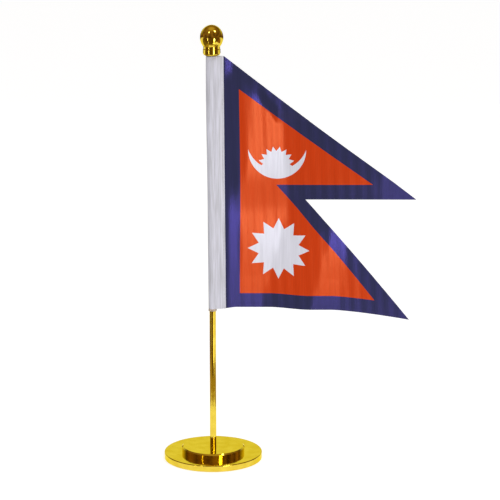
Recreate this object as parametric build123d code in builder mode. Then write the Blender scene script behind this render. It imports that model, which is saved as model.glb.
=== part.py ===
"""Desk flag stand: a two-tier weighted base, a slim tube pole with a ball finial, and a double-pennon
flag whose sleeve slips over the pole and rests on a stop ring.

Millimetres, +Z up. The origin is the centre of the base's underside, on the table. The flag flies
towards +X, in the plane Y = 0, and its front faces -Y.
"""

import os
from math import acos, degrees, radians, sin

from build123d import *

# Fits
fit_gap = 0.05  # radial clearance of a part that screws or slides in another
loose_gap = 0.5  # clearance of a part that is laid in loosely
rest_gap = 0.1  # height of the sleeve above the ring that carries it

# Lower tier of the base: a pressed shell over a steel ring
lower_r = 35.0
lower_wall = 1.0
lower_round = 1.6
rim_lift = 0.4  # the pad holds the rim this far off the table
pad_thick = 1.0

# Upper tier of the base: a pressed cap over the pole's socket
upper_r = 22.4
upper_height = 4.3
upper_wall = 1.0
upper_bevel = 0.9

# Pole and its threads
pole_r = 2.25
pole_wall = 0.5
pole_length = 285.7
stud_grip = 10.0  # length of a stud's plain end, pressed into the tube
stud_reach = 4.5  # length of its threaded end
thread_r = 1.5  # M3
pole_seat = 1.5  # depth that the tube stands in the socket

# Socket, and the nut that clamps the base together
socket_r = 9.0
shank_r = 3.0  # M6
washer_r = 6.0
washer_thick = 0.6
nut_flats = 10.0
nut_thick = 1.8
nut_room = 0.4  # between the nut and the pad
weight_bore_r = 8.0

# Finial
collar_r = 6.06
collar_height = 4.7
collar_round = 1.8
collar_top_round = 0.5
collar_seat = 2.0  # depth that the tube stands in the collar
neck_r = 5.8
neck_height = 1.5
spigot_height = 2.4
ball_r = 8.06
ball_half_height = 8.8
ball_wall = 0.6

# Flag sleeve, and the ring that it rests on
sleeve_top_gap = 0.5
sleeve_length = 179.6
sleeve_room = 0.35  # radial clearance between the sleeve and the pole
sleeve_thick = 0.35
sleeve_flat_x = 6.3  # where the sleeve's two plies come together
seam_x = 9.3  # the sleeve's edge, at the flag's hoist
ring_thick = 1.5
ring_width = 0.65
ring_round = 0.25

# Flag cloth. Heights are measured up from the hoist's lower end.
cloth_thick = 0.5
seam_lap = 2.0  # width of cloth caught between the plies
hoist_height = 178.8
upper_fly = 133.9  # from the seam to the upper tip
notch_fly = 55.9
notch_height = 78.0
lower_fly = 129.0
lower_tip_height = -8.5
droop_fly = 89.3  # where the lower edge starts to droop
droop_height = -2.7

# Lockstitch along the hoist
stitch_pitch = 3.0
stitch_length = 2.2
stitch_wide = 0.35
stitch_high = 0.15
stitch_inset = 1.0  # from the sleeve's edge

# Heights that follow from the sizes above. The lower tier is as deep as what it holds.
plate_under = pad_thick + nut_room + nut_thick + washer_thick
lower_top = plate_under + lower_wall
upper_top = lower_top + upper_height
socket_top = upper_top - upper_wall
pole_foot = socket_top - pole_seat
pole_top = pole_foot + pole_length
collar_bottom = pole_top - collar_seat
collar_top = collar_bottom + collar_height
neck_top = collar_top + neck_height
sleeve_top = collar_bottom - sleeve_top_gap
sleeve_bottom = sleeve_top - sleeve_length
hoist_bottom = sleeve_top - hoist_height

# Radii that follow from the sizes above
lower_room_r = lower_r - lower_wall
weight_r = lower_room_r - loose_gap
pole_bore_r = pole_r - pole_wall
shank_hole_r = shank_r + fit_gap
pole_hole_r = pole_r + fit_gap
thread_hole_r = thread_r + fit_gap
spigot_r = neck_r - ball_wall

os.makedirs("parts", exist_ok=True)


# Base pad: a felt disc glued under the base. It stands proud of the rim and meets the table.
with BuildPart() as base_pad:
    with BuildSketch(Plane.XY):
        Circle(weight_r)
    extrude(amount=pad_thick)
base_pad.part.label = "base_pad"
export_step(base_pad.part, "parts/base_pad.step")


# Lower tier: a shallow dish pressed from sheet, upside down, with a rounded shoulder.
with BuildPart() as base_lower_tier:
    with BuildSketch(Plane.XY.offset(rim_lift)):
        Circle(lower_r)
    extrude(amount=lower_top - rim_lift)
    fillet(base_lower_tier.edges().sort_by(Axis.Z)[-1], lower_round)
    with BuildSketch(Plane.XY.offset(rim_lift)):
        Circle(lower_room_r)
    extrude(amount=plate_under - rim_lift, mode=Mode.SUBTRACT)
    with BuildSketch(Plane.XY.offset(plate_under)):
        Circle(shank_hole_r)
    extrude(amount=lower_wall, mode=Mode.SUBTRACT)
base_lower_tier.part.label = "base_lower_tier"
export_step(base_lower_tier.part, "parts/base_lower_tier.step")


# Base weight: a steel ring that fills the dish, open in the middle for the nut.
with BuildPart() as base_weight:
    with BuildSketch(Plane.XY.offset(pad_thick)):
        Circle(weight_r)
        Circle(weight_bore_r, mode=Mode.SUBTRACT)
    extrude(amount=plate_under - pad_thick)
base_weight.part.label = "base_weight"
export_step(base_weight.part, "parts/base_weight.step")


# Upper tier: a pressed cap with a bevelled edge and a close hole for the pole.
with BuildPart() as base_upper_tier:
    with BuildSketch(Plane.XY.offset(lower_top)):
        Circle(upper_r)
    extrude(amount=upper_height)
    chamfer(base_upper_tier.edges().sort_by(Axis.Z)[-1], upper_bevel)
    with BuildSketch(Plane.XY.offset(lower_top)):
        Circle(upper_r - upper_wall)
    extrude(amount=upper_height - upper_wall, mode=Mode.SUBTRACT)
    with BuildSketch(Plane.XY.offset(socket_top)):
        Circle(pole_hole_r)
    extrude(amount=upper_wall, mode=Mode.SUBTRACT)
base_upper_tier.part.label = "base_upper_tier"
export_step(base_upper_tier.part, "parts/base_upper_tier.step")


# Pole socket: a turned hub brazed under the cap. Its threaded shank passes down through the lower
# tier, and its bore takes the pole's threaded foot.
shank_bottom = pad_thick + nut_room
with BuildPart() as pole_socket:
    with BuildSketch(Plane.XY.offset(lower_top)):
        Circle(socket_r)
    extrude(amount=socket_top - lower_top)
    with BuildSketch(Plane.XY.offset(shank_bottom)):
        Circle(shank_r)
    extrude(amount=lower_top - shank_bottom)
    with BuildSketch(Plane.XY.offset(shank_bottom)):
        Circle(thread_hole_r)
    extrude(amount=socket_top - shank_bottom, mode=Mode.SUBTRACT)
    with BuildSketch(Plane.XY.offset(pole_foot)):
        Circle(pole_hole_r)
    extrude(amount=pole_seat, mode=Mode.SUBTRACT)
pole_socket.part.label = "pole_socket"
export_step(pole_socket.part, "parts/pole_socket.step")


# Washer and nut: they draw the socket, and the cap with it, down on the lower tier.
with BuildPart() as socket_washer:
    with BuildSketch(Plane.XY.offset(plate_under - washer_thick)):
        Circle(washer_r)
        Circle(shank_hole_r, mode=Mode.SUBTRACT)
    extrude(amount=washer_thick)
socket_washer.part.label = "socket_washer"
export_step(socket_washer.part, "parts/socket_washer.step")

with BuildPart() as socket_nut:
    with BuildSketch(Plane.XY.offset(shank_bottom)):
        RegularPolygon(nut_flats / 2, 6, major_radius=False)
        Circle(shank_hole_r, mode=Mode.SUBTRACT)
    extrude(amount=nut_thick)
socket_nut.part.label = "socket_nut"
export_step(socket_nut.part, "parts/socket_nut.step")


# Pole: a drawn tube with a threaded stud pressed into each end.
with BuildPart() as pole_tube:
    with BuildSketch(Plane.XY.offset(pole_foot)):
        Circle(pole_r)
        Circle(pole_bore_r, mode=Mode.SUBTRACT)
    extrude(amount=pole_length)
pole_tube.part.label = "pole_tube"
export_step(pole_tube.part, "parts/pole_tube.step")

with BuildPart() as pole_foot_stud:
    with BuildSketch(Plane.XY.offset(pole_foot)):
        Circle(pole_bore_r)
    extrude(amount=stud_grip)
    with BuildSketch(Plane.XY.offset(pole_foot - stud_reach)):
        Circle(thread_r)
    extrude(amount=stud_reach)
pole_foot_stud.part.label = "pole_foot_stud"
export_step(pole_foot_stud.part, "parts/pole_foot_stud.step")

with BuildPart() as pole_top_stud:
    with BuildSketch(Plane.XY.offset(pole_top - stud_grip)):
        Circle(pole_bore_r)
    extrude(amount=stud_grip)
    with BuildSketch(Plane.XY.offset(pole_top)):
        Circle(thread_r)
    extrude(amount=stud_reach)
pole_top_stud.part.label = "pole_top_stud"
export_step(pole_top_stud.part, "parts/pole_top_stud.step")


# Finial collar: a turned bead that screws on the pole. Its spigot carries the ball.
with BuildPart() as finial_collar:
    with BuildSketch(Plane.XY.offset(collar_bottom)):
        Circle(collar_r)
    extrude(amount=collar_height)
    fillet(finial_collar.edges().sort_by(Axis.Z)[0], collar_round)
    fillet(finial_collar.edges().sort_by(Axis.Z)[-1], collar_top_round)
    with BuildSketch(Plane.XY.offset(collar_top)):
        Circle(spigot_r)
    extrude(amount=spigot_height)
    with BuildSketch(Plane.XY.offset(collar_bottom)):
        Circle(pole_hole_r)
    extrude(amount=collar_seat, mode=Mode.SUBTRACT)
    with BuildSketch(Plane.XY.offset(pole_top)):
        Circle(thread_hole_r)
    extrude(amount=collar_top + spigot_height - pole_top, mode=Mode.SUBTRACT)
finial_collar.part.label = "finial_collar"
export_step(finial_collar.part, "parts/finial_collar.step")


# Finial ball: a spun shell, a little taller than wide, drawn in to a short neck on the spigot.
neck_angle = degrees(acos(neck_r / ball_r))
ball_centre = neck_top + ball_half_height * sin(radians(neck_angle))
room_half_width = ball_r - ball_wall
room_half_height = ball_half_height - ball_wall
room_angle = degrees(acos(spigot_r / room_half_width))
with BuildPart() as finial_ball:
    with BuildSketch(Plane.XZ):
        with BuildLine():
            dome = EllipticalCenterArc(
                (0, ball_centre),
                ball_r,
                ball_half_height,
                -neck_angle,
                arc_size=neck_angle + 90,
            )
            room = EllipticalCenterArc(
                (0, ball_centre),
                room_half_width,
                room_half_height,
                -room_angle,
                arc_size=room_angle + 90,
            )
            Line(dome @ 1, room @ 1)
            Polyline(dome @ 0, (neck_r, collar_top), (spigot_r, collar_top), room @ 0)
        make_face()
    revolve(axis=Axis.Z)
finial_ball.part.label = "finial_ball"
export_step(finial_ball.part, "parts/finial_ball.step")


# Stop ring: a clear silicone ring that grips the pole under the sleeve.
ring_top = sleeve_bottom - rest_gap
with BuildPart() as sleeve_stop_ring:
    with BuildSketch(Plane.XY.offset(ring_top - ring_thick)):
        Circle(pole_hole_r + ring_width)
        Circle(pole_hole_r, mode=Mode.SUBTRACT)
    extrude(amount=ring_thick)
    rims = sleeve_stop_ring.edges().filter_by(GeomType.CIRCLE).sort_by(SortBy.RADIUS)[-2:]
    fillet(rims, ring_round)
sleeve_stop_ring.part.label = "sleeve_stop_ring"
export_step(sleeve_stop_ring.part, "parts/sleeve_stop_ring.step")


# Flag sleeve: a strip of satin folded round the pole. Its plies run together to the seam, where
# they hold the flag's hoist edge between them.
room_r = pole_r + sleeve_room
ply_out = cloth_thick / 2 + sleeve_thick
with BuildPart() as flag_sleeve:
    with BuildSketch(Plane.XY.offset(sleeve_bottom)):
        Circle(room_r + sleeve_thick)
        with Locations((sleeve_flat_x, 0)):
            Circle(ply_out)
        make_hull()
        with Locations((sleeve_flat_x, 0)):
            Rectangle(seam_x - sleeve_flat_x, 2 * ply_out, align=(Align.MIN, Align.CENTER))
        with BuildSketch(mode=Mode.SUBTRACT):
            Circle(room_r)
            with Locations((sleeve_flat_x, 0)):
                Circle(cloth_thick / 2)
            make_hull()
            with Locations((sleeve_flat_x, 0)):
                Rectangle(seam_x - sleeve_flat_x, cloth_thick, align=(Align.MIN, Align.CENTER))
    extrude(amount=sleeve_length)
flag_sleeve.part.label = "flag_sleeve"
export_step(flag_sleeve.part, "parts/flag_sleeve.step")


# Flag cloth: printed satin cut to two pennons, one above the other. The lower one droops a little.
with BuildPart() as flag_cloth:
    with BuildSketch(Plane.XZ.offset(-cloth_thick / 2)):
        with BuildLine():
            Polyline(
                (seam_x - seam_lap, sleeve_top),
                (seam_x, sleeve_top),
                (seam_x + upper_fly, hoist_bottom + notch_height),
                (seam_x + notch_fly, hoist_bottom + notch_height),
                (seam_x + lower_fly, hoist_bottom + lower_tip_height),
                (seam_x + droop_fly, hoist_bottom + droop_height),
                (seam_x, hoist_bottom),
                (seam_x - seam_lap, hoist_bottom),
                close=True,
            )
        make_face()
    extrude(amount=cloth_thick)
flag_cloth.part.label = "flag_cloth"
export_step(flag_cloth.part, "parts/flag_cloth.step")


# Hoist stitching: one row of thread on each face of the sleeve, just inside its edge.
stitches = int(hoist_height / stitch_pitch)
row_middle = (sleeve_top + hoist_bottom) / 2
with BuildPart() as hoist_stitching:
    for face_y in (-ply_out - stitch_high, ply_out):
        with BuildSketch(Plane.XZ.offset(-face_y)):
            with Locations((seam_x - stitch_inset, row_middle)):
                with GridLocations(0, stitch_pitch, 1, stitches):
                    Rectangle(stitch_wide, stitch_length)
        extrude(amount=-stitch_high)
hoist_stitching.part.label = "hoist_stitching"
export_step(hoist_stitching.part, "parts/hoist_stitching.step")
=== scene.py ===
"""Desk flag stand: the looks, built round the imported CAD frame. Metres, +Z up, front towards -Y."""

from math import cos, pi, radians, sin

import bpy
import numpy as np
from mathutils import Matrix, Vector


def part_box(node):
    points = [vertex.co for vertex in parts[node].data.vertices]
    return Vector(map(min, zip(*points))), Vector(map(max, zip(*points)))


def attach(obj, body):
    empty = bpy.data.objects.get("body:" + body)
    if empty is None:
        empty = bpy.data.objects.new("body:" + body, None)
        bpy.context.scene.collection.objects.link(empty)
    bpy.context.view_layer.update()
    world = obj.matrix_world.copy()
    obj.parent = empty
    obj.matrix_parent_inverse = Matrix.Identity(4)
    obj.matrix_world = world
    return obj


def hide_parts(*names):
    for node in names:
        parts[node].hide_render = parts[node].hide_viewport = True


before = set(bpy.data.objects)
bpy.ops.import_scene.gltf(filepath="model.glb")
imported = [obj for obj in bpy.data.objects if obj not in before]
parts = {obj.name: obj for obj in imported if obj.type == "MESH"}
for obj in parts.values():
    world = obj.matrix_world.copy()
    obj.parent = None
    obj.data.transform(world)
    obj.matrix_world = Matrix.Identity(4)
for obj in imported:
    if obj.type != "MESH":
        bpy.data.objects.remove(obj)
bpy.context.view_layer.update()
bpy.ops.object.select_all(action="DESELECT")

# ---------------------------------------------------------------------------------------------------
# Studio. The camera stands a metre and a half off and looks down a little. The stand is on a white
# table in a white room. Polished metal sees the room's brown side and ceiling, and cards on the table.
# ---------------------------------------------------------------------------------------------------
bpy.context.scene.view_settings.view_transform = "Standard"

camera_data = bpy.data.cameras.new("camera")
camera_data.lens = 158.6
camera_data.sensor_width = 36.0
camera = bpy.data.objects.new("camera", camera_data)
camera.location = (0.0264, -1.510, 0.499)
camera.rotation_euler = (radians(77.08), 0.0, 0.0)
bpy.context.scene.collection.objects.link(camera)
bpy.context.scene.camera = camera


def node_tools(tree):
    """Shorthands to add a node with its input values and settings, and to join two sockets."""

    def add(kind, values=None, **settings):
        node = tree.nodes.new(kind)
        for key, value in settings.items():
            setattr(node, key, value)
        for key, value in (values or {}).items():
            node.inputs[key].default_value = value
        return node

    def join(out_socket, in_socket):
        tree.links.new(out_socket, in_socket)

    return add, join


def begin_material(name, roughness, metallic=0.0):
    """A material with one Principled shader, and the shorthands for its nodes."""
    material = bpy.data.materials.new(name)
    material.use_nodes = True
    shader = material.node_tree.nodes["Principled BSDF"]
    shader.inputs["Roughness"].default_value = roughness
    shader.inputs["Metallic"].default_value = metallic
    add, join = node_tools(material.node_tree)
    return material, shader, add, join


def two_tones(add, first, last, start=0.0, end=1.0):
    """A ramp that goes from the first colour at the start to the last one at the end."""
    ramp = add("ShaderNodeValToRGB")
    low, high = ramp.color_ramp.elements
    low.position, low.color = start, first
    high.position, high.color = end, last
    return ramp


def put_on(piece, material):
    piece.data.materials.clear()
    piece.data.materials.append(material)


table_paint, shader, add, join = begin_material("table_paint", 0.7)
shader.inputs["Base Color"].default_value = (0.56, 0.56, 0.56, 1.0)
shader.inputs["Emission Color"].default_value = (1.0, 1.0, 1.0, 1.0)
shader.inputs["Emission Strength"].default_value = 0.73
bpy.ops.mesh.primitive_plane_add(size=80.0, location=(0.0, 0.0, 0.0))
table = bpy.context.object
table.name = "table"
table.visible_diffuse = False
put_on(table, table_paint)


def glow_card(name, left, right, front, back, colour, bearing=0.0, height=0.001):
    """A card on the table that only polished surfaces see. The bearing turns it round the pole."""
    paint, shader, add, join = begin_material(name, 1.0)
    shader.inputs["Base Color"].default_value = (0.0, 0.0, 0.0, 1.0)
    shader.inputs["Specular IOR Level"].default_value = 0.0
    shader.inputs["Emission Color"].default_value = colour
    shader.inputs["Emission Strength"].default_value = 1.0
    turn = radians(bearing)
    x, y = (left + right) / 2, (front + back) / 2
    place = (x * cos(turn) - y * sin(turn), x * sin(turn) + y * cos(turn), height)
    bpy.ops.mesh.primitive_plane_add(size=1.0, location=place, rotation=(0.0, 0.0, turn))
    card = bpy.context.object
    card.name = name
    card.scale = (right - left, back - front, 1.0)
    put_on(card, paint)
    card.visible_camera = False
    card.visible_diffuse = False
    card.visible_shadow = False
    card.visible_transmission = False


room_brown = (0.13, 0.070, 0.030, 1.0)
ochre = (0.42, 0.30, 0.09, 1.0)
olive_brown = (0.20, 0.14, 0.05, 1.0)
warm_brown = (0.30, 0.14, 0.045, 1.0)
bright_cream = (2.2, 2.1, 1.8, 1.0)
soft_cream = (1.2, 1.15, 1.0, 1.0)
above_others = 0.002
glow_card("far_front", left=-40.0, right=40.0, front=-40.0, back=-0.30, colour=room_brown)
glow_card("near_front", left=-3.0, right=0.17, front=-0.30, back=-0.20, colour=room_brown)
glow_card("ochre_front", left=-0.25, right=0.17, front=-0.20, back=-0.125, colour=ochre)
glow_card("ochre_left", left=-0.25, right=-0.12, front=-0.125, back=0.20, colour=ochre)
glow_card("ochre_right", left=0.12, right=0.25, front=-0.125, back=0.15, colour=ochre)
glow_card("ochre_back", left=-0.25, right=-0.01, front=0.20, back=1.6, colour=ochre)
glow_card("dark_left", left=-3.0, right=-0.25, front=-0.20, back=0.20, colour=olive_brown)
glow_card("warm_right", left=0.45, right=3.0, front=-0.30, back=0.20, colour=warm_brown)
glow_card("dark_back", left=-40.0, right=40.0, front=1.6, back=40.0, colour=room_brown)
glow_card("low_right", -0.05, 0.05, -0.60, -0.24, bright_cream, bearing=28.0, height=above_others)
glow_card("low_left", -0.02, 0.02, -0.60, -0.30, soft_cream, bearing=-36.0, height=above_others)


def softbox(name, bearing, rise, distance, width, tall, power):
    """A rectangular lamp that faces the flag. Its bearing is counted from the camera's side, to the
    right, and its rise is the angle above the flag's middle."""
    light = bpy.data.lights.new(name, "AREA")
    light.shape = "RECTANGLE"
    light.size = width
    light.size_y = tall
    light.energy = power
    lamp = bpy.data.objects.new(name, light)
    flag_middle = Vector((0.0, 0.0, 0.17))
    turn, lift = radians(bearing), radians(rise)
    away = Vector((sin(turn) * cos(lift), -cos(turn) * cos(lift), sin(lift)))
    lamp.location = flag_middle + away * distance
    lamp.rotation_euler = (-away).to_track_quat("-Z", "Y").to_euler()
    lamp.visible_camera = False
    bpy.context.scene.collection.objects.link(lamp)


softbox("key_light", bearing=54.0, rise=56.0, distance=1.4, width=0.24, tall=0.24, power=3.0)
softbox("right_strip", bearing=28.0, rise=-3.2, distance=0.62, width=0.10, tall=0.25, power=0.85)
softbox("left_strip", bearing=-38.0, rise=-3.0, distance=0.80, width=0.04, tall=0.25, power=0.23)
softbox("small_light", bearing=-33.0, rise=50.0, distance=1.4, width=0.16, tall=0.16, power=1.0)

world = bpy.data.worlds.new("studio_room")
bpy.context.scene.world = world
world.use_nodes = True
add, join = node_tools(world.node_tree)


def share_between(value, start, end, most=1.0):
    """Goes from 0 to the most, as the value goes from the start to the end."""
    limits = {"From Min": start, "From Max": end, "To Max": most}
    node = add("ShaderNodeMapRange", limits)
    join(value, node.inputs["Value"])
    return node.outputs["Result"]


def times(first, second):
    node = add("ShaderNodeMath", operation="MULTIPLY")
    join(first, node.inputs[0])
    join(second, node.inputs[1])
    return node.outputs["Value"]


def laid_over(share, under_colour, over_colour):
    node = add("ShaderNodeMix", data_type="RGBA")
    node.inputs["B"].default_value = over_colour
    join(share, node.inputs["Factor"])
    join(under_colour, node.inputs["A"])
    return node.outputs["Result"]


# The room that polished surfaces see: brown clutter, a warm ceiling with a lighter middle, and a white
# backdrop that stands low behind the table. Heights and depths are shares of a direction's length.
dark_clutter = (0.030, 0.014, 0.008, 1.0)
light_clutter = (0.30, 0.17, 0.075, 1.0)
warm_ceiling = (0.34, 0.20, 0.08, 1.0)
lit_zenith = (0.85, 0.66, 0.30, 1.0)
white_backdrop = (0.89, 0.89, 0.88, 1.0)
direction = add("ShaderNodeTexCoord").outputs["Generated"]
split = add("ShaderNodeSeparateXYZ")
clutter = add("ShaderNodeTexNoise", {"Scale": 2.6, "Detail": 3.0})
browns = two_tones(add, dark_clutter, light_clutter, start=0.35, end=0.68)
join(direction, split.inputs["Vector"])
join(direction, clutter.inputs["Vector"])
join(clutter.outputs["Fac"], browns.inputs["Fac"])
backward, upward = split.outputs["Y"], split.outputs["Z"]
backdrop_band = times(share_between(upward, 0.50, 0.36), share_between(upward, 0.05, 0.15))
backdrop = times(share_between(backward, 0.40, 0.90), backdrop_band)
ceiling_share = share_between(upward, 0.40, 0.85, most=0.7)
zenith_share = share_between(upward, 0.86, 0.98, most=0.5)
seen = laid_over(ceiling_share, browns.outputs["Color"], warm_ceiling)
seen = laid_over(zenith_share, seen, lit_zenith)
seen = laid_over(backdrop, seen, white_backdrop)

room = world.node_tree.nodes["Background"]
room.inputs["Color"].default_value = (1.0, 1.0, 1.0, 1.0)
room.inputs["Strength"].default_value = 0.50
gloss_room = add("ShaderNodeBackground")
ray = add("ShaderNodeLightPath")
choice = add("ShaderNodeMixShader")
join(seen, gloss_room.inputs["Color"])
join(ray.outputs["Is Glossy Ray"], choice.inputs["Fac"])
join(room.outputs["Background"], choice.inputs[1])
join(gloss_room.outputs["Background"], choice.inputs[2])
join(choice.outputs["Shader"], world.node_tree.nodes["World Output"].inputs["Surface"])


# ---------------------------------------------------------------------------------------------------
# Base pad: a disc of pressed wool felt, die cut and glued under the base.
# ---------------------------------------------------------------------------------------------------
felt, shader, add, join = begin_material("felt", 0.95)
shader.inputs["Sheen Weight"].default_value = 0.5
place = add("ShaderNodeTexCoord")
fibres = add("ShaderNodeTexNoise", {"Scale": 1800.0, "Detail": 6.0})
shades = two_tones(add, (0.006, 0.012, 0.010, 1.0), (0.030, 0.055, 0.045, 1.0))
nap = add("ShaderNodeBump", {"Distance": 0.0002})
join(place.outputs["Object"], fibres.inputs["Vector"])
join(fibres.outputs["Fac"], shades.inputs["Fac"])
join(shades.outputs["Color"], shader.inputs["Base Color"])
join(fibres.outputs["Fac"], nap.inputs["Height"])
join(nap.outputs["Normal"], shader.inputs["Normal"])
put_on(parts["base_pad"], felt)


# ---------------------------------------------------------------------------------------------------
# Base tiers: two caps pressed from brass sheet, polished on a wheel and gold plated. The wheel leaves
# hair-fine rings round the middle, and the plating ripples a little.
# ---------------------------------------------------------------------------------------------------
def gold_plating(name, grain):
    """Bright gold plate over polished brass. The grain is how far the polishing marks are stretched
    along X, Y and Z."""
    gold, shader, add, join = begin_material(name, 0.07, metallic=1.0)
    shader.inputs["Specular Tint"].default_value = (1.0, 0.94, 0.40, 1.0)
    place = add("ShaderNodeTexCoord")
    stretch = add("ShaderNodeMapping", {"Scale": grain})
    marks = add("ShaderNodeTexNoise", {"Scale": 1.0, "Detail": 5.0})
    ripple = add("ShaderNodeTexNoise", {"Scale": 140.0, "Detail": 2.0})
    tint = two_tones(add, (0.74, 0.53, 0.050, 1.0), (0.82, 0.62, 0.075, 1.0), 0.35, 0.65)
    dull = add("ShaderNodeMapRange", {"To Min": 0.04, "To Max": 0.13})
    wave = add("ShaderNodeBump", {"Strength": 0.25, "Distance": 0.0004})
    scratch = add("ShaderNodeBump", {"Strength": 0.15, "Distance": 0.00002})
    join(place.outputs["Object"], stretch.inputs["Vector"])
    join(stretch.outputs["Vector"], marks.inputs["Vector"])
    join(place.outputs["Object"], ripple.inputs["Vector"])
    join(ripple.outputs["Fac"], tint.inputs["Fac"])
    join(tint.outputs["Color"], shader.inputs["Base Color"])
    join(marks.outputs["Fac"], dull.inputs["Value"])
    join(dull.outputs["Result"], shader.inputs["Roughness"])
    join(ripple.outputs["Fac"], wave.inputs["Height"])
    join(wave.outputs["Normal"], scratch.inputs["Normal"])
    join(marks.outputs["Fac"], scratch.inputs["Height"])
    join(scratch.outputs["Normal"], shader.inputs["Normal"])
    return gold


def pick(piece):
    """Selects one piece by itself and makes it the active one."""
    bpy.ops.object.select_all(action="DESELECT")
    piece.select_set(True)
    bpy.context.view_layer.objects.active = piece


def vertices_of(piece):
    points = np.zeros(len(piece.data.vertices) * 3)
    piece.data.vertices.foreach_get("co", points)
    return points.reshape(-1, 3)


def move_vertices(piece, points):
    piece.data.vertices.foreach_set("co", points.ravel())
    piece.data.update()


spun_gold = gold_plating("spun_gold", grain=(900.0, 900.0, 2600.0))
put_on(parts["base_upper_tier"], spun_gold)

# The lower cap's shoulder is struck tight in the press. Its section is a quarter circle, which keeps
# its angles while its radius shrinks from the loose bend to the struck one.
loose_bend = 0.0016
struck_bend = 0.0006
hair = 0.00001  # as far as rounding may have moved a point
shell_mesh = parts["base_lower_tier"].data.copy()
lower_shell = bpy.data.objects.new("pressed_lower_tier", shell_mesh)
bpy.context.scene.collection.objects.link(lower_shell)
pick(lower_shell)
bpy.ops.object.mode_set(mode="EDIT")
bpy.ops.mesh.select_all(action="SELECT")
bpy.ops.mesh.remove_doubles(threshold=0.000002)
bpy.ops.mesh.customdata_custom_splitnormals_clear()
bpy.ops.object.mode_set(mode="OBJECT")
spots = vertices_of(lower_shell)
reach = np.hypot(spots[:, 0], spots[:, 1])
out = reach - (reach.max() - loose_bend)
rise = spots[:, 2] - (spots[:, 2].max() - loose_bend)
on_circle = np.abs(np.hypot(out, rise) - loose_bend) < hair
bent = on_circle & (out > -hair) & (rise > -hair)
slack = loose_bend - struck_bend
struck_reach = reach[bent] + slack * (1.0 - out[bent] / loose_bend)
spots[bent, :2] *= (struck_reach / reach[bent])[:, None]
spots[bent, 2] += slack * (1.0 - rise[bent] / loose_bend)
move_vertices(lower_shell, spots)
bpy.ops.object.shade_smooth_by_angle(angle=radians(30.0))
even = lower_shell.modifiers.new("even_shading", "WEIGHTED_NORMAL")
even.keep_sharp = True
bpy.ops.object.modifier_apply(modifier=even.name)
put_on(lower_shell, spun_gold)
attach(lower_shell, "base")
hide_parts("base_lower_tier")


# ---------------------------------------------------------------------------------------------------
# Inside the base: a stamped steel weight, and a turned brass socket that a washer and a nut clamp. The
# pole's two threaded studs are of the same steel.
# ---------------------------------------------------------------------------------------------------
def bare_metal(name, low, high, roughness):
    """Unplated metal with fine tool marks and a little staining."""
    metal, shader, add, join = begin_material(name, roughness, metallic=1.0)
    place = add("ShaderNodeTexCoord")
    marks = add("ShaderNodeTexNoise", {"Scale": 700.0, "Detail": 8.0})
    stain = two_tones(add, low, high)
    tooling = add("ShaderNodeBump", {"Distance": 0.00003})
    join(place.outputs["Object"], marks.inputs["Vector"])
    join(marks.outputs["Fac"], stain.inputs["Fac"])
    join(stain.outputs["Color"], shader.inputs["Base Color"])
    join(marks.outputs["Fac"], tooling.inputs["Height"])
    join(tooling.outputs["Normal"], shader.inputs["Normal"])
    return metal


steel = bare_metal("steel", (0.20, 0.20, 0.21, 1.0), (0.55, 0.55, 0.56, 1.0), roughness=0.35)
brass = bare_metal("turned_brass", (0.42, 0.28, 0.10, 1.0), (0.78, 0.56, 0.24, 1.0), roughness=0.25)
for name in ("base_weight", "socket_washer", "socket_nut", "pole_foot_stud", "pole_top_stud"):
    put_on(parts[name], steel)
put_on(parts["pole_socket"], brass)


# ---------------------------------------------------------------------------------------------------
# Pole: drawn brass tube, polished along its length and gold plated.
# ---------------------------------------------------------------------------------------------------
drawn_gold = gold_plating("drawn_gold", grain=(2600.0, 2600.0, 60.0))
put_on(parts["pole_tube"], drawn_gold)


# ---------------------------------------------------------------------------------------------------
# Finial: a turned collar and a spun ball, polished and plated as the base is.
# ---------------------------------------------------------------------------------------------------
for name in ("finial_collar", "finial_ball"):
    put_on(parts[name], spun_gold)


# ---------------------------------------------------------------------------------------------------
# Stop ring: a slice of clear silicone tube, which grips the pole.
# ---------------------------------------------------------------------------------------------------
silicone, shader, add, join = begin_material("clear_silicone", 0.30)
shader.inputs["Transmission Weight"].default_value = 0.55
shader.inputs["IOR"].default_value = 1.41
place = add("ShaderNodeTexCoord")
cloud = add("ShaderNodeTexNoise", {"Scale": 900.0})
milk = two_tones(add, (0.88, 0.72, 0.58, 1.0), (0.97, 0.88, 0.78, 1.0))
dimple = add("ShaderNodeBump", {"Distance": 0.00005})
join(place.outputs["Object"], cloud.inputs["Vector"])
join(cloud.outputs["Fac"], milk.inputs["Fac"])
join(milk.outputs["Color"], shader.inputs["Base Color"])
join(cloud.outputs["Fac"], dimple.inputs["Height"])
join(dimple.outputs["Normal"], shader.inputs["Normal"])
put_on(parts["sleeve_stop_ring"], silicone)


# ---------------------------------------------------------------------------------------------------
# Flag cloth: polyester satin, printed and cut hot to two pennons, one above the other. It hangs from
# the seam in soft upright folds, and the lower pennon droops.
# ---------------------------------------------------------------------------------------------------
cloth_low, cloth_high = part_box("flag_cloth")
seam_lap = 0.002
seam_x = cloth_low.x + seam_lap
hoist_height = 0.1788
hoist_foot = cloth_high.z - hoist_height
upper_fly = cloth_high.x - seam_x
notch_fly = 0.0559
notch_height = 0.078
lower_fly = 0.1302
cloth_thick = 0.0003
cell = 0.001

width = upper_fly + seam_lap
columns, rows = round(width / cell), round(hoist_height / cell)
bpy.ops.mesh.primitive_grid_add(x_subdivisions=columns, y_subdivisions=rows, size=1.0)
cloth = bpy.context.object
cloth.name = "printed_cloth"
cloth.scale = (width, hoist_height, 1.0)
cloth.location = (width / 2 - seam_lap, hoist_height / 2, 0.0)
bpy.ops.object.transform_apply(location=True, scale=True)

upper_edge = Vector((hoist_height - notch_height, upper_fly))
lower_edge = Vector((notch_height, lower_fly - notch_fly))


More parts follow.
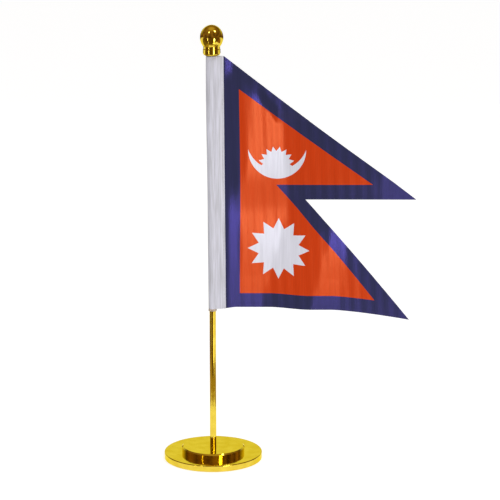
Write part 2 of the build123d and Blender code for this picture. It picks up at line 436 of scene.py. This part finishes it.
def past_lower_edge(x, y):
    return (x - notch_fly) * lower_edge.x + (y - notch_height) * lower_edge.y > 0


def select_faces(piece, chosen):
    """Selects the faces whose middle is chosen, and nothing else."""
    for group in (piece.data.polygons, piece.data.edges, piece.data.vertices):
        group.foreach_set("select", [False] * len(group))
    for face in piece.data.polygons:
        face.select = chosen(face.center.x, face.center.y)


def cut(piece, point, normal, chosen, clear):
    """Cuts the flat cloth along a line, through those of its faces whose middle is chosen."""
    select_faces(piece, chosen)
    bpy.ops.object.mode_set(mode="EDIT")
    bpy.ops.mesh.select_mode(type="FACE")
    bpy.ops.mesh.bisect(
        plane_co=(*point, 0.0), plane_no=(*normal, 0.0), clear_outer=clear, threshold=1e-7
    )
    bpy.ops.object.mode_set(mode="OBJECT")


cut(cloth, (0.0, hoist_height), upper_edge, lambda x, y: True, clear=True)
cut(cloth, (0.0, notch_height), (0.0, 1.0), lambda x, y: x > notch_fly - cell, clear=False)
cut(cloth, (notch_fly, notch_height), lower_edge, lambda x, y: y < notch_height, clear=False)
select_faces(cloth, lambda x, y: y < notch_height and past_lower_edge(x, y))
bpy.ops.object.mode_set(mode="EDIT")
bpy.ops.mesh.delete(type="FACE")
bpy.ops.object.mode_set(mode="OBJECT")


def keep_flat_map(piece):
    """Keeps each point's place on the flat sheet, in metres, as the UV map that patterns follow."""
    flat_map = piece.data.uv_layers.new(name="flat")
    for loop in piece.data.loops:
        corner = piece.data.vertices[loop.vertex_index].co
        flat_map.data[loop.index].uv = (corner.x, corner.y)


keep_flat_map(cloth)

# The red field's sloped edge on the upper pennon: where it would meet the seam, in millimetres up, and
# how it climbs. The main fold is shallower above it.
upper_field_start = 163.3
upper_field_slope = -0.7228


def ease(value):
    """Rises smoothly from 0 to 1."""
    value = np.clip(value, 0.0, 1.0)
    return value * value * (3.0 - 2.0 * value)


def climb(value, start, end, soft=1.6):
    """Counts the millimetres from start to end, with soft corners at both."""
    first, last = np.hypot(value - start, soft), np.hypot(value - end, soft)
    return 0.5 * (first - last + end - start)


def lower_share(up):
    """1 on the lower pennon, 0 on the upper one, and smooth between the two."""
    return 1.0 - ease((up - 52.0) / 28.0)


def fold_depth(fly, up):
    """How far the cloth stands behind the pole's plane. All is in millimetres: the fly is counted from
    the seam, and up from the foot. Each fold is a slope times the stretch of fly that it climbs."""
    lower = lower_share(up)
    foot = 1.0 - ease(up / 70.0)
    belly = np.exp(-(((up - 75.0) / 26.0) ** 2))

    # A narrow fold along the seam, from the foot to the waist, and a sharp one at the seam's top.
    seam_fold_slope = 0.245 * (1.0 - ease((up - 66.0) / 30.0))
    depth = seam_fold_slope * (climb(fly, 1.5, 9.5) - climb(0.0, 1.5, 9.5))
    depth += 0.21 * ease((up - 158.0) / 12.0) * climb(fly, 0.0, 5.5, 0.6)

    # The main fold: two slopes with a gap between them, which join at the foot and at the belly. It is
    # shallow above the red field.
    near = np.clip(belly + 1.3 * foot, 0.0, 1.0)
    gap = 1.1 * (1.0 - np.clip(foot + belly, 0.0, 1.0))
    main_start = 16.5 - 7.0 * near
    main_middle = 27.5 - 9.0 * foot
    main_end = 39.0 - 12.0 * foot + 3.0 * belly
    main = climb(fly, main_start, main_middle - gap, 3.0)
    main += climb(fly, main_middle + gap, main_end, 3.0)
    near_fly = np.clip(fly, 0.0, 36.0)
    above_field = up - upper_field_slope * near_fly - upper_field_start
    above_field += 0.6 * np.clip(near_fly - 26.0, 0.0, None)
    depth += (0.25 - 0.17 * ease((above_field - 1.0) / 12.0) - 0.02 * foot) * main

    # Past it the cloth swings forward again, and the lower pennon has a broad fold that leans.
    depth -= 0.06 * climb(fly, 46.0, 110.0 - 46.0 * lower)
    broad_middle = 70.0 + 0.17 * up
    broad_half = 10.5 - 0.10 * np.clip(up, 0.0, 60.0)
    broad = climb(fly, broad_middle - broad_half, broad_middle + broad_half, 2.4)
    depth += 0.17 * lower * broad

    # The upper tip curls back and the lower one forward, and fine ripples run up all of the cloth.
    depth += 0.06 * (1.0 - lower) * climb(fly, 108.0, 140.0)
    depth -= 0.05 * lower * climb(fly, 98.0, 130.0)
    depth += 0.06 * ease(fly / 12.0) * np.sin(fly / 1.25 + 0.05 * up)
    return depth


def hang(fly, up, depth):
    """How far a point stands above its flat place, in millimetres. The upper edge sags, the lower
    pennon droops towards its tip, and what stands back looks lower."""
    edge = hoist_height * 1000.0 - fly * upper_edge.x / upper_edge.y
    notch_up = notch_height * 1000.0
    high = np.clip((up - notch_up) / np.maximum(edge - notch_up, 1.0), 0.0, 1.0)
    sag = -1.3 * np.sin(pi * np.clip(fly / 118.0, 0.0, 1.0)) * high
    droop = -0.4 + 0.8 * ease(fly / 7.0) - 2.1 * ease((fly - 30.0) / 30.0)
    droop -= 6.9 * (np.clip(fly - 75.0, 0.0, None) / 53.0) ** 1.35
    return sag + droop * lower_share(up) - 0.1 - depth * (0.257 - 0.00065 * up)


flat_points = vertices_of(cloth)
fly, up = flat_points[:, 0] * 1000.0, flat_points[:, 1] * 1000.0
depth = fold_depth(fly, up)
seam_sway = 0.5 * np.exp(-(((up - 80.0) / 40.0) ** 2)) - 0.7 * ease((up - 110.0) / 60.0)
hung = np.column_stack(
    [
        seam_x + flat_points[:, 0] + seam_sway * np.exp(-fly / 40.0) / 1000.0,
        depth / 1000.0,
        hoist_foot + flat_points[:, 1] + hang(fly, up, depth) / 1000.0,
    ]
)
move_vertices(cloth, hung)


def finish_sheet(piece, thick):
    """Gives a sheet its thickness, and smooth shading."""
    pick(piece)
    body = piece.modifiers.new("thickness", "SOLIDIFY")
    body.thickness = thick
    body.offset = 0.0
    bpy.ops.object.modifier_apply(modifier=body.name)
    bpy.ops.object.shade_smooth_by_angle(angle=radians(40.0))


finish_sheet(cloth, cloth_thick)


def satin_weave(shader, add, join, strength):
    """The satin's long floats, which run up the cloth, and the slubs that streak it."""
    place = add("ShaderNodeUVMap", uv_map="flat")
    threads = add("ShaderNodeMapping", {"Scale": (4200.0, 900.0, 1.0)})
    floats = add("ShaderNodeTexNoise", {"Scale": 1.0, "Detail": 3.0}, noise_dimensions="2D")
    streaks = add("ShaderNodeMapping", {"Scale": (900.0, 40.0, 1.0)})
    slubs = add("ShaderNodeTexNoise", {"Scale": 1.0, "Detail": 4.0}, noise_dimensions="2D")
    fine = add("ShaderNodeBump", {"Strength": strength, "Distance": 0.00004})
    coarse = add("ShaderNodeBump", {"Strength": strength, "Distance": 0.00008})
    join(place.outputs["UV"], threads.inputs["Vector"])
    join(threads.outputs["Vector"], floats.inputs["Vector"])
    join(place.outputs["UV"], streaks.inputs["Vector"])
    join(streaks.outputs["Vector"], slubs.inputs["Vector"])
    join(floats.outputs["Fac"], fine.inputs["Height"])
    join(slubs.outputs["Fac"], coarse.inputs["Height"])
    join(fine.outputs["Normal"], coarse.inputs["Normal"])
    join(coarse.outputs["Normal"], shader.inputs["Normal"])
    return slubs.outputs["Fac"]


printed, shader, add, join = begin_material("printed_satin", 0.27)
shader.inputs["Specular IOR Level"].default_value = 1.0
shader.inputs["Specular Tint"].default_value = (0.70, 0.45, 0.60, 1.0)
slub_value = satin_weave(shader, add, join, strength=0.5)


def calc(operation, first, second=0.0, third=0.0):
    """One step of the print's arithmetic, on sockets or numbers."""
    node = add("ShaderNodeMath", operation=operation)
    for socket, value in zip(node.inputs, (first, second, third)):
        if isinstance(value, bpy.types.NodeSocket):
            join(value, socket)
        else:
            socket.default_value = value
    return node.outputs["Value"]


def both(*masks):
    whole = masks[0]
    for mask in masks[1:]:
        whole = calc("MULTIPLY", whole, mask)
    return whole


def either(first, second):
    return calc("MAXIMUM", first, second)


# The print is drawn in millimetres on the flat cloth: across from the seam, and along from the foot.
map_node = add("ShaderNodeUVMap", uv_map="flat")
split_node = add("ShaderNodeSeparateXYZ")
join(map_node.outputs["UV"], split_node.inputs["Vector"])
across = calc("MULTIPLY", split_node.outputs["X"], 1000.0)
along = calc("MULTIPLY", split_node.outputs["Y"], 1000.0)


def under(start, slope):
    """Inside is below a line that starts at the seam and climbs by the slope."""
    return calc("LESS_THAN", along, calc("MULTIPLY_ADD", across, slope, start))


def disc(middle, radius):
    x, y = calc("SUBTRACT", across, middle[0]), calc("SUBTRACT", along, middle[1])
    square = calc("ADD", calc("MULTIPLY", x, x), calc("MULTIPLY", y, y))
    return calc("LESS_THAN", square, radius * radius)


def star(middle, points, tip, root, turn):
    """A star of straight-sided points, the first turned from straight up by a share of one point."""
    x, y = calc("SUBTRACT", across, middle[0]), calc("SUBTRACT", along, middle[1])
    away = calc("SQRT", calc("ADD", calc("MULTIPLY", x, x), calc("MULTIPLY", y, y)))
    share = calc("MULTIPLY_ADD", calc("ARCTAN2", x, y), points / (2.0 * pi), turn)
    near = calc("ABSOLUTE", calc("SUBTRACT", share, calc("ROUND", share)))
    angle = calc("MULTIPLY", near, 2.0 * pi / points)
    half = pi / points
    out_x, out_y = root * sin(half), tip - root * cos(half)
    from_tip = calc("SUBTRACT", calc("MULTIPLY", away, calc("COSINE", angle)), tip)
    line = calc("MULTIPLY", from_tip, out_x)
    reach = calc("MULTIPLY_ADD", calc("MULTIPLY", away, calc("SINE", angle)), out_y, line)
    return calc("LESS_THAN", reach, 0.0)


field_left = 9.9
field_foot = 10.1
upper_field_foot = 88.7
lower_field_top = 88.8
lower_field_start = 128.2
lower_field_slope = -1.119
upper_field = both(
    under(upper_field_start, upper_field_slope), calc("GREATER_THAN", along, upper_field_foot)
)
lower_field = both(
    under(lower_field_start, lower_field_slope), calc("LESS_THAN", along, lower_field_top)
)
field = both(
    either(upper_field, lower_field),
    calc("GREATER_THAN", across, field_left),
    calc("GREATER_THAN", along, field_foot),
)
moon_disc = disc(middle=(35.9, 113.4), radius=20.3)
moon_bite = calc("SUBTRACT", 1.0, disc(middle=(35.9, 121.0), radius=21.5))
moon_rays = star(middle=(35.4, 103.6), points=16, tip=12.7, root=9.3, turn=0.5)
moon = both(moon_disc, either(moon_bite, moon_rays))
sun = star(middle=(37.2, 42.8), points=12, tip=21.9, root=14.6, turn=0.0)
emblem = either(moon, sun)


def printed_colour(border, inside, bare):
    """The border's colour, the field's inside it, and the bare cloth's at the emblems."""
    dyed = add("ShaderNodeMix", data_type="RGBA")
    dyed.inputs["A"].default_value = border
    dyed.inputs["B"].default_value = inside
    whole = add("ShaderNodeMix", data_type="RGBA")
    whole.inputs["B"].default_value = bare
    join(field, dyed.inputs["Factor"])
    join(dyed.outputs["Result"], whole.inputs["A"])
    join(emblem, whole.inputs["Factor"])
    return whole.outputs["Result"]


navy = (0.036, 0.041, 0.090, 1.0)
red = (0.760, 0.055, 0.006, 1.0)
white = (0.86, 0.85, 0.94, 1.0)
streaked = add("ShaderNodeMix", data_type="RGBA", blend_type="MULTIPLY")
streaked.inputs["Factor"].default_value = 0.22
shade = two_tones(add, (0.62, 0.62, 0.62, 1.0), (1.0, 1.0, 1.0, 1.0), 0.30, 0.70)
join(slub_value, shade.inputs["Fac"])
join(printed_colour(navy, red, white), streaked.inputs["A"])
join(shade.outputs["Color"], streaked.inputs["B"])
join(streaked.outputs["Result"], shader.inputs["Base Color"])

# Dyed satin gleams in its own colour.
navy_gleam = (0.22, 0.16, 1.0, 1.0)
red_gleam = (1.0, 0.30, 0.12, 1.0)
white_gleam = (0.60, 0.60, 0.70, 1.0)
join(printed_colour(navy_gleam, red_gleam, white_gleam), shader.inputs["Specular Tint"])
put_on(cloth, printed)

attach(cloth, "flag")
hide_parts("flag_cloth")


# ---------------------------------------------------------------------------------------------------
# Sleeve: a strip of white satin, folded round the pole. Its two plies close on the cloth's hoist
# edge, where they are stitched through.
# ---------------------------------------------------------------------------------------------------
sleeve_low, sleeve_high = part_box("flag_sleeve")
sleeve_length = sleeve_high.z - sleeve_low.z
strip_width = 0.028
sleeve_thick = 0.00025
ply_gap = 0.30  # millimetres from the cloth's plane to the middle of either ply, at the seam

bpy.ops.object.select_all(action="DESELECT")
bpy.ops.mesh.primitive_grid_add(x_subdivisions=84, y_subdivisions=180, size=1.0)
sleeve = bpy.context.object
sleeve.name = "sleeve_strip"
sleeve.scale = (strip_width, sleeve_length, 1.0)
bpy.ops.object.transform_apply(scale=True)
keep_flat_map(sleeve)


def sleeve_edge(height):
    """Where the sleeve's stitched edge stands from the pole's axis, in millimetres. The height runs
    from 0 at the sleeve's foot to 1 at its top."""
    return 9.4 - 1.3 * height


def sleeve_section(share, height):
    """The half section: a point's place along X and its distance from the cloth's plane, in
    millimetres. The share runs from 0, left of the pole, to 1, at the stitched edge."""
    # The strip wraps the pole closely at the foot, and more loosely towards the top.
    loose = ease(height * 1.1)
    radius = 2.72 + 0.55 * loose + 0.12 * np.sin(9.0 * height)
    middle = -0.62 * loose
    wrap = 0.46
    last = radians(128.0)
    angle = pi - np.clip(share / wrap, 0.0, 1.0) * last
    arc_x, arc_out = middle + radius * np.cos(angle), radius * np.sin(angle)

    # From there each ply closes on the cloth in a hollow curve, and puffs out a little on its way.
    start_x, start_out = middle + radius * cos(pi - last), radius * sin(pi - last)
    rest = np.clip((share - wrap) / (1.0 - wrap), 0.0, 1.0)
    ply_x = start_x + (sleeve_edge(height) - start_x) * rest
    puff = 0.30 + 0.18 * np.sin(7.0 * height + 0.6) + 0.10 * np.sin(17.0 * height)
    ply_out = ply_gap + (start_out - ply_gap) * (1.0 - rest) ** 2.6
    ply_out += puff * np.sin(pi * np.clip((rest - 0.28) / 0.6, 0.0, 1.0)) ** 2
    flat_part = share > wrap
    return np.where(flat_part, ply_x, arc_x), np.where(flat_part, ply_out, arc_out)


flat_points = vertices_of(sleeve)
across_share = flat_points[:, 0] / strip_width * 2.0
height_share = flat_points[:, 1] / sleeve_length + 0.5
section_x, section_out = sleeve_section(np.abs(across_share), height_share)
side = -np.sign(across_share)
folded = np.column_stack(
    [
        section_x / 1000.0,
        side * section_out / 1000.0,
        sleeve_low.z + height_share * sleeve_length,
    ]
)
move_vertices(sleeve, folded)
finish_sheet(sleeve, sleeve_thick)

white_satin, shader, add, join = begin_material("white_satin", 0.42)
shader.inputs["Specular IOR Level"].default_value = 0.3
slub_value = satin_weave(shader, add, join, strength=0.6)
tone = two_tones(add, (0.64, 0.63, 0.68, 1.0), (0.86, 0.845, 0.95, 1.0), 0.30, 0.72)
join(slub_value, tone.inputs["Fac"])
join(tone.outputs["Color"], shader.inputs["Base Color"])
put_on(sleeve, white_satin)

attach(sleeve, "flag")
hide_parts("flag_sleeve")


# ---------------------------------------------------------------------------------------------------
# Hoist stitching: a row of lockstitch in white polyester thread, close to the sleeve's edge. Each
# stitch lies on the sleeve and dives into it at both ends.
# ---------------------------------------------------------------------------------------------------
stitch_pitch = 0.003
stitch_length = 0.0023
stitch_bow = 0.00012
stitch_inset = 0.001
thread_radius = 0.00016

bpy.ops.object.select_all(action="DESELECT")
bpy.ops.mesh.primitive_uv_sphere_add(segments=10, ring_count=10, radius=1.0)
stitch = bpy.context.object
stitch.name = "first_stitch"
stitch.scale = (thread_radius, thread_radius, stitch_length / 2)
bpy.ops.object.transform_apply(scale=True)
stitch_points = vertices_of(stitch)
bow = 1.0 - (stitch_points[:, 2] / (stitch_length / 2)) ** 2
stitch_points[:, 0] += stitch_points[:, 0] * 0.6 * bow
stitch_points[:, 1] -= stitch_bow * bow
move_vertices(stitch, stitch_points)

stitches = int(hoist_height / stitch_pitch)
ply_face = ply_gap / 1000.0 + sleeve_thick / 2
copies = []
for side in (-1.0, 1.0):
    for number in range(stitches):
        height = (number + 0.5) / stitches
        copy = stitch.copy()
        copy.data = stitch.data.copy()
        copy.scale = (1.0, -side, 1.0)
        copy.location = (
            sleeve_edge(height) / 1000.0 - stitch_inset,
            side * ply_face,
            sleeve_low.z + height * sleeve_length,
        )
        bpy.context.scene.collection.objects.link(copy)
        copies.append(copy)
bpy.data.objects.remove(stitch)
pick(copies[0])
for copy in copies:
    copy.select_set(True)
bpy.ops.object.join()
thread = bpy.context.object
thread.name = "hoist_thread"
bpy.ops.object.transform_apply(location=True, rotation=True, scale=True)
bpy.ops.object.mode_set(mode="EDIT")
bpy.ops.mesh.select_all(action="SELECT")
bpy.ops.mesh.normals_make_consistent(inside=False)
bpy.ops.object.mode_set(mode="OBJECT")
bpy.ops.object.shade_smooth_by_angle(angle=radians(60.0))

thread_white, shader, add, join = begin_material("white_thread", 0.55)
place = add("ShaderNodeTexCoord")
lay = add("ShaderNodeMapping", {"Scale": (3000.0, 3000.0, 5200.0)})
twist = add("ShaderNodeTexNoise", {"Scale": 1.0})
plied = add("ShaderNodeBump", {"Distance": 0.00003})
cream = two_tones(add, (0.62, 0.61, 0.66, 1.0), (0.88, 0.87, 0.92, 1.0))
join(place.outputs["Object"], lay.inputs["Vector"])
join(lay.outputs["Vector"], twist.inputs["Vector"])
join(twist.outputs["Fac"], plied.inputs["Height"])
join(twist.outputs["Fac"], cream.inputs["Fac"])
join(cream.outputs["Color"], shader.inputs["Base Color"])
join(plied.outputs["Normal"], shader.inputs["Normal"])
put_on(thread, thread_white)
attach(thread, "flag")
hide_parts("hoist_stitching")
